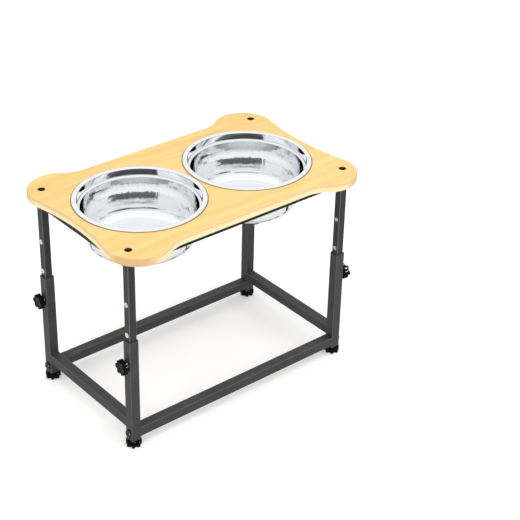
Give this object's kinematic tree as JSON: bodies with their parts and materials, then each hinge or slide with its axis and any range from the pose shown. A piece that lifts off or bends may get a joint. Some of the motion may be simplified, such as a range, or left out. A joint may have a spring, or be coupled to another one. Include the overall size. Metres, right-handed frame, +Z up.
{
  "type": "elevated dog feeder",
  "caption": "Raised pet feeder: bone-shaped wooden board that holds steel bowls on a dark square-tube frame with telescoping legs, star locking knobs and levelling feet.",
  "frame": {"origin": "on the floor under the middle of the board", "axes": "+X along the long side towards the right-hand bowl, -Y towards the front, +Z up"},
  "size_m": [0.561, 0.369, 0.4247],
  "materials": {
    "frame_paint": "satin charcoal powder coat on steel tube",
    "board_wood": "clear-coated light wood, straight grain along the long side",
    "bowl_steel": "polished stainless steel",
    "black_plastic": "moulded black plastic",
    "black_fastener": "black oxide steel",
    "insert_steel": "zinc-plated steel",
    "yellow_plating": "yellow zinc plating",
    "guide_plastic": "moulded black plastic"
  },
  "bodies": {
    "lower_frame": {"outer_leg_front_left": "frame_paint", "outer_leg_rear_left": "frame_paint", "outer_leg_front_right": "frame_paint", "outer_leg_rear_right": "frame_paint", "side_rail_left": "frame_paint", "side_rail_right": "frame_paint", "long_rail_front": "frame_paint", "long_rail_rear": "frame_paint", "rail_bolts": "black_fastener", "rail_end_inserts": "insert_steel", "foot_inserts": "black_plastic"},
    "upper_frame": {"inner_leg_front_left": "frame_paint", "inner_leg_rear_left": "frame_paint", "inner_leg_front_right": "frame_paint", "inner_leg_rear_right": "frame_paint", "top_side_rail_left": "frame_paint", "top_side_rail_right": "frame_paint", "top_long_rail_front": "frame_paint", "top_long_rail_rear": "frame_paint", "rail_end_tabs": "frame_paint", "leg_top_inserts": "insert_steel", "leg_guide_caps": "guide_plastic", "threaded_sleeves": "yellow_plating", "top_board": "board_wood", "board_screws": "black_fastener"},
    "bowl_left": {"bowl_left": "bowl_steel"},
    "bowl_right": {"bowl_right": "bowl_steel"},
    "knob_stud_front_left": {"knob_stud_front_left": "insert_steel"},
    "knob_head_front_left": {"knob_head_front_left": "black_plastic"},
    "foot_stud_front_left": {"foot_stud_front_left": "insert_steel"},
    "foot_star_front_left": {"foot_star_front_left": "black_plastic"},
    "knob_stud_rear_left": {"knob_stud_rear_left": "insert_steel"},
    "knob_head_rear_left": {"knob_head_rear_left": "black_plastic"},
    "foot_stud_rear_left": {"foot_stud_rear_left": "insert_steel"},
    "foot_star_rear_left": {"foot_star_rear_left": "black_plastic"},
    "knob_stud_front_right": {"knob_stud_front_right": "insert_steel"},
    "knob_head_front_right": {"knob_head_front_right": "black_plastic"},
    "foot_stud_front_right": {"foot_stud_front_right": "insert_steel"},
    "foot_star_front_right": {"foot_star_front_right": "black_plastic"},
    "knob_stud_rear_right": {"knob_stud_rear_right": "insert_steel"},
    "knob_head_rear_right": {"knob_head_rear_right": "black_plastic"},
    "foot_stud_rear_right": {"foot_stud_rear_right": "insert_steel"},
    "foot_star_rear_right": {"foot_star_rear_right": "black_plastic"}
  },
  "joints": [
    {"name": "height_slide", "type": "slide", "parent": "lower_frame", "child": "upper_frame", "axis": [0, 0, 1], "range_m": [-0.128, 0]},
    {"name": "bowl_left_lift", "type": "slide", "parent": "upper_frame", "child": "bowl_left", "axis": [0, 0, 1], "range_m": [0, 0.1]},
    {"name": "bowl_right_lift", "type": "slide", "parent": "upper_frame", "child": "bowl_right", "axis": [0, 0, 1], "range_m": [0, 0.1]},
    {"name": "knob_stud_front_left_travel", "type": "slide", "parent": "lower_frame", "child": "knob_stud_front_left", "axis": [1, 0, 0], "range_m": [0, 0.003]},
    {"name": "knob_head_front_left_turn", "type": "hinge", "parent": "knob_stud_front_left", "child": "knob_head_front_left", "pos_m": [-0.2645, -0.138, 0.1845], "axis": [1, 0, 0], "range_deg": [0, 1080]},
    {"name": "foot_stud_front_left_travel", "type": "slide", "parent": "lower_frame", "child": "foot_stud_front_left", "axis": [0, 0, 1], "range_m": [-0.006, 0]},
    {"name": "foot_star_front_left_turn", "type": "hinge", "parent": "foot_stud_front_left", "child": "foot_star_front_left", "pos_m": [-0.25, -0.138, 0.006], "axis": [0, 0, 1], "range_deg": [-1728, 0]},
    {"name": "knob_stud_rear_left_travel", "type": "slide", "parent": "lower_frame", "child": "knob_stud_rear_left", "axis": [1, 0, 0], "range_m": [0, 0.003]},
    {"name": "knob_head_rear_left_turn", "type": "hinge", "parent": "knob_stud_rear_left", "child": "knob_head_rear_left", "pos_m": [-0.2645, 0.138, 0.1845], "axis": [1, 0, 0], "range_deg": [0, 1080]},
    {"name": "foot_stud_rear_left_travel", "type": "slide", "parent": "lower_frame", "child": "foot_stud_rear_left", "axis": [0, 0, 1], "range_m": [-0.006, 0]},
    {"name": "foot_star_rear_left_turn", "type": "hinge", "parent": "foot_stud_rear_left", "child": "foot_star_rear_left", "pos_m": [-0.25, 0.138, 0.006], "axis": [0, 0, 1], "range_deg": [-1728, 0]},
    {"name": "knob_stud_front_right_travel", "type": "slide", "parent": "lower_frame", "child": "knob_stud_front_right", "axis": [-1, 0, 0], "range_m": [0, 0.003]},
    {"name": "knob_head_front_right_turn", "type": "hinge", "parent": "knob_stud_front_right", "child": "knob_head_front_right", "pos_m": [0.2645, -0.138, 0.1845], "axis": [-1, 0, 0], "range_deg": [0, 1080]},
    {"name": "foot_stud_front_right_travel", "type": "slide", "parent": "lower_frame", "child": "foot_stud_front_right", "axis": [0, 0, 1], "range_m": [-0.006, 0]},
    {"name": "foot_star_front_right_turn", "type": "hinge", "parent": "foot_stud_front_right", "child": "foot_star_front_right", "pos_m": [0.25, -0.138, 0.006], "axis": [0, 0, 1], "range_deg": [-1728, 0]},
    {"name": "knob_stud_rear_right_travel", "type": "slide", "parent": "lower_frame", "child": "knob_stud_rear_right", "axis": [-1, 0, 0], "range_m": [0, 0.003]},
    {"name": "knob_head_rear_right_turn", "type": "hinge", "parent": "knob_stud_rear_right", "child": "knob_head_rear_right", "pos_m": [0.2645, 0.138, 0.1845], "axis": [-1, 0, 0], "range_deg": [0, 1080]},
    {"name": "foot_stud_rear_right_travel", "type": "slide", "parent": "lower_frame", "child": "foot_stud_rear_right", "axis": [0, 0, 1], "range_m": [-0.006, 0]},
    {"name": "foot_star_rear_right_turn", "type": "hinge", "parent": "foot_stud_rear_right", "child": "foot_star_rear_right", "pos_m": [0.25, 0.138, 0.006], "axis": [0, 0, 1], "range_deg": [-1728, 0]}
  ],
  "couplings": [
    {"joint": "knob_stud_front_left_travel", "follows": "knob_head_front_left_turn", "m_per_rad": 0.00015915},
    {"joint": "foot_stud_front_left_travel", "follows": "foot_star_front_left_turn", "m_per_rad": 0.00019894},
    {"joint": "knob_stud_rear_left_travel", "follows": "knob_head_rear_left_turn", "m_per_rad": 0.00015915},
    {"joint": "foot_stud_rear_left_travel", "follows": "foot_star_rear_left_turn", "m_per_rad": 0.00019894},
    {"joint": "knob_stud_front_right_travel", "follows": "knob_head_front_right_turn", "m_per_rad": 0.00015915},
    {"joint": "foot_stud_front_right_travel", "follows": "foot_star_front_right_turn", "m_per_rad": 0.00019894},
    {"joint": "knob_stud_rear_right_travel", "follows": "knob_head_rear_right_turn", "m_per_rad": 0.00015915},
    {"joint": "foot_stud_rear_right_travel", "follows": "foot_star_rear_right_turn", "m_per_rad": 0.00019894}
  ]
}
